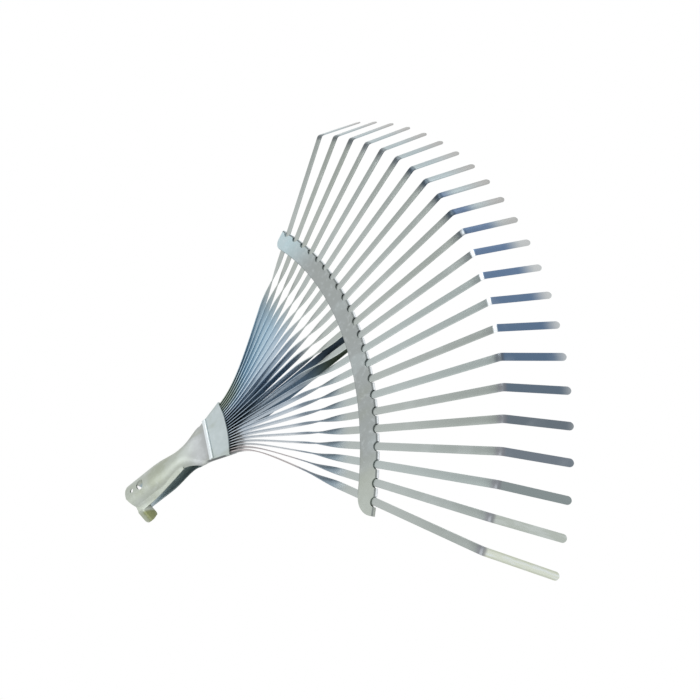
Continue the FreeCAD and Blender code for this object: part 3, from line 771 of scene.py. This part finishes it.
def strip_section(width, thickness, radius):
    """Section of a rolled strip: a rectangle whose corners are quarter circles, as (thin, wide)."""
    a = np.linspace(0, math.pi / 2, CORNER_POINTS)
    corners = []
    for k, (sx, sy) in enumerate(((1, 1), (-1, 1), (-1, -1), (1, -1))):
        centre = np.array([sx * (thickness / 2 - radius), sy * (width / 2 - radius)])
        b = a + k * math.pi / 2
        corners.append(centre + radius * np.stack([np.cos(b), np.sin(b)], 1))
    return np.concatenate(corners)


def tine_mesh(index, s):
    """One strip: the rolled section carried along the middle line, turned by the quarter-turn angle.

    A vertex is point + a * thin + b * wide, with (a, b) in the section, narrowed on the nose.
    """
    u = -1 + 2 * index / (TINE_COUNT - 1)
    path = TinePath(u, tine_node(index), s)
    points, way, angle, along, half_width, shares = path.build()
    side = np.cross(way, UP)
    side /= lengths(side)[:, None]
    over = np.cross(side, way)
    thin = side * np.cos(angle)[:, None] - over * np.sin(angle)[:, None]
    wide = over * np.cos(angle)[:, None] + side * np.sin(angle)[:, None]
    section = strip_section(s.width, s.thickness, s.edge_round)
    sign = np.where(section[:, 1] > 0, 1.0, -1.0)
    inset = section[:, 1] - sign * s.width / 2
    half = np.maximum(half_width * s.width / 2, s.edge_round)
    heel = (along < s.heel_length)[:, None] & (sign > 0)[None, :]
    b = sign[None, :] * half[:, None] + inset[None, :] + heel * s.heel
    a = np.broadcast_to(section[:, 0][None, :], b.shape)
    places = points[:, None, :] + a[..., None] * thin[:, None, :] + b[..., None] * wide[:, None, :]
    rows, columns = b.shape
    grid = np.arange(rows * columns).reshape(rows, columns)
    nxt = np.roll(grid, -1, axis=1)
    quads = np.stack([grid[:-1], nxt[:-1], nxt[1:], grid[1:]], -1).reshape(-1, 4)
    faces = quads.tolist() + [grid[0, ::-1].tolist(), grid[-1].tolist()]
    mesh = bpy.data.meshes.new("tine")
    mesh.from_pydata(places.reshape(-1, 3), [], faces)
    corners = np.empty(len(mesh.loops), np.int32)
    mesh.loops.foreach_get("vertex_index", corners)
    uv = np.stack([np.repeat(along, columns), b.ravel()], 1)
    layer = mesh.uv_layers.new(name="strip")
    layer.data.foreach_set("uv", uv[corners].astype(np.float32).ravel())
    for name, values in shares.items():
        data = mesh.attributes.new(name, "FLOAT", "POINT").data
        data.foreach_set("value", np.repeat(values, columns).astype(np.float32))
    mesh.shade_smooth()
    mesh.set_sharp_from_angle(angle=SHARP_STRIP)
    return mesh


# ---- operators ----

def tine_node(index):
    return "tine_%02d" % (index + 1)


def sizes():
    return bpy.context.scene.rake_tines


def finishes():
    return bpy.context.scene.rake_finishes


class RAKE_OT_tines(Operator):
    """Spring strips of the fan"""
    bl_idname = "rake.tines"
    bl_label = "Tines"

    def execute(self, context):
        material = StripFinish(finishes()).build()
        for i in range(TINE_COUNT):
            piece = link("strip_%02d" % (i + 1), tine_mesh(i, sizes()), material)
            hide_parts(tine_node(i))
        return {"FINISHED"}


class RAKE_OT_brace(Operator):
    """Folded band that spaces the tines"""
    bl_idname = "rake.brace"
    bl_label = "Brace"

    def execute(self, context):
        add_sheet("brace", "brace_band", brace_zinc(finishes()), BRACE_EDGE)
        return {"FINISHED"}


class RAKE_OT_stay(Operator):
    """Strap under the fan"""
    bl_idname = "rake.stay"
    bl_label = "Stay strap"

    def execute(self, context):
        add_sheet("stay_strap", "stay_band", stay_zinc(finishes()), SHEET_EDGE)
        return {"FINISHED"}


class RAKE_OT_socket(Operator):
    """Pressed socket that takes the handle and clamps the tines"""
    bl_idname = "rake.socket"
    bl_label = "Socket"

    def execute(self, context):
        add_sheet("socket", "socket_shell", socket_zinc(finishes()), SHEET_EDGE)
        return {"FINISHED"}


class RAKE_OT_stage(Operator):
    """Floor, lights, world and camera"""
    bl_idname = "rake.stage"
    bl_label = "Stage"

    def execute(self, context):
        add_floor()
        add_lights()
        add_world()
        add_camera(context.scene.rake_camera)
        context.scene.view_settings.view_transform = "Standard"
        return {"FINISHED"}


def add_floor():
    """Wide pale floor under the lowest tip, white where it is seen."""
    z = CAD_BOX[0].z - FLOOR_GAP
    corners = [(x * FLOOR_HALF, y * FLOOR_HALF, z) for x, y in ((-1, -1), (1, -1), (1, 1), (-1, 1))]
    mesh = bpy.data.meshes.new("floor")
    mesh.from_pydata(corners, [], [(0, 1, 2, 3)])
    floor = bpy.data.objects.new("floor", mesh)
    bpy.context.scene.collection.objects.link(floor)
    t = material_tree("floor")
    pale = t.node("ShaderNodeBsdfPrincipled", {}, {"Base Color": FLOOR_GREY})
    white = t.node("ShaderNodeEmission", {}, {"Color": (1.0, 1.0, 1.0), "Strength": 1.0})
    t.finish(t.node("ShaderNodeMixShader", {}, {0: t.white_rays(), 1: pale, 2: white}))
    mesh.materials.append(t.owner)


def add_lights():
    """One broad key from above, a weaker fill and a narrow lamp that glints on the elbows."""
    centre = (CAD_BOX[0] + CAD_BOX[1]) / 2
    for name, offset, size, power in LAMPS:
        data = bpy.data.lights.new(name, "AREA")
        data.shape = "RECTANGLE"
        data.size, data.size_y = size
        data.energy = power
        lamp = bpy.data.objects.new(name, data)
        bpy.context.scene.collection.objects.link(lamp)
        lamp.location = centre + Vector(offset)
        lamp.rotation_mode = "QUATERNION"
        lamp.rotation_quaternion = (-Vector(offset)).to_track_quat("-Z", "Y")


def add_world():
    """White for what is seen, soft grey light for the rest."""
    world = bpy.data.worlds.new("studio")
    bpy.context.scene.world = world
    t = Tree(world)
    soft, white = [t.node("ShaderNodeBackground", {}, {"Color": (1.0, 1.0, 1.0), "Strength": strength})
                   for strength in (WORLD_STRENGTH, 1.0)]
    t.finish(t.node("ShaderNodeMixShader", {}, {0: t.white_rays(), 1: soft, 2: white}),
             "ShaderNodeOutputWorld")


def add_camera(c):
    """Camera above the fan's upper side, turned about its line of sight."""
    back = Vector((math.sin(c.turn) * math.cos(c.rise), -math.cos(c.turn) * math.cos(c.rise),
                   math.sin(c.rise)))
    aim = Vector((c.aside, BRACE_HIGH.y - c.behind, BRACE_Z))
    right = Vector((math.cos(c.turn), math.sin(c.turn), 0.0))
    up = back.cross(right)
    turned_right = right * math.cos(c.roll) + up * math.sin(c.roll)
    turned_up = back.cross(turned_right)
    data = bpy.data.cameras.new("camera")
    data.sensor_width = 36.0
    data.lens = c.lens
    camera = bpy.data.objects.new("camera", data)
    bpy.context.scene.collection.objects.link(camera)
    turn = Matrix((turned_right, turned_up, back)).transposed()
    camera.matrix_world = Matrix.Translation(aim + back * c.distance) @ turn.to_4x4()
    bpy.context.scene.camera = camera


class RAKE_PT_panel(Panel):
    """Buttons that build the rake head"""
    bl_idname = "RAKE_PT_panel"
    bl_label = "Leaf rake head"
    bl_space_type = "VIEW_3D"
    bl_region_type = "UI"
    bl_category = "Rake"

    def draw(self, context):
        for kind in OPERATORS:
            self.layout.operator(kind.bl_idname)


OPERATORS = (RAKE_OT_tines, RAKE_OT_brace, RAKE_OT_stay, RAKE_OT_socket, RAKE_OT_stage)
CLASSES = (TineSizes, Finishes, CameraSizes, *OPERATORS, RAKE_PT_panel)


def register():
    for kind in CLASSES:
        bpy.utils.register_class(kind)
    bpy.types.Scene.rake_tines = PointerProperty(type=TineSizes)
    bpy.types.Scene.rake_finishes = PointerProperty(type=Finishes)
    bpy.types.Scene.rake_camera = PointerProperty(type=CameraSizes)


def unregister():
    del bpy.types.Scene.rake_camera
    del bpy.types.Scene.rake_finishes
    del bpy.types.Scene.rake_tines
    for kind in reversed(CLASSES):
        bpy.utils.unregister_class(kind)


def main():
    """Builds every piece and the stage."""
    register()
    bpy.ops.rake.tines()
    bpy.ops.rake.brace()
    bpy.ops.rake.stay()
    bpy.ops.rake.socket()
    bpy.ops.rake.stage()


if __name__ == "__main__":
    main()
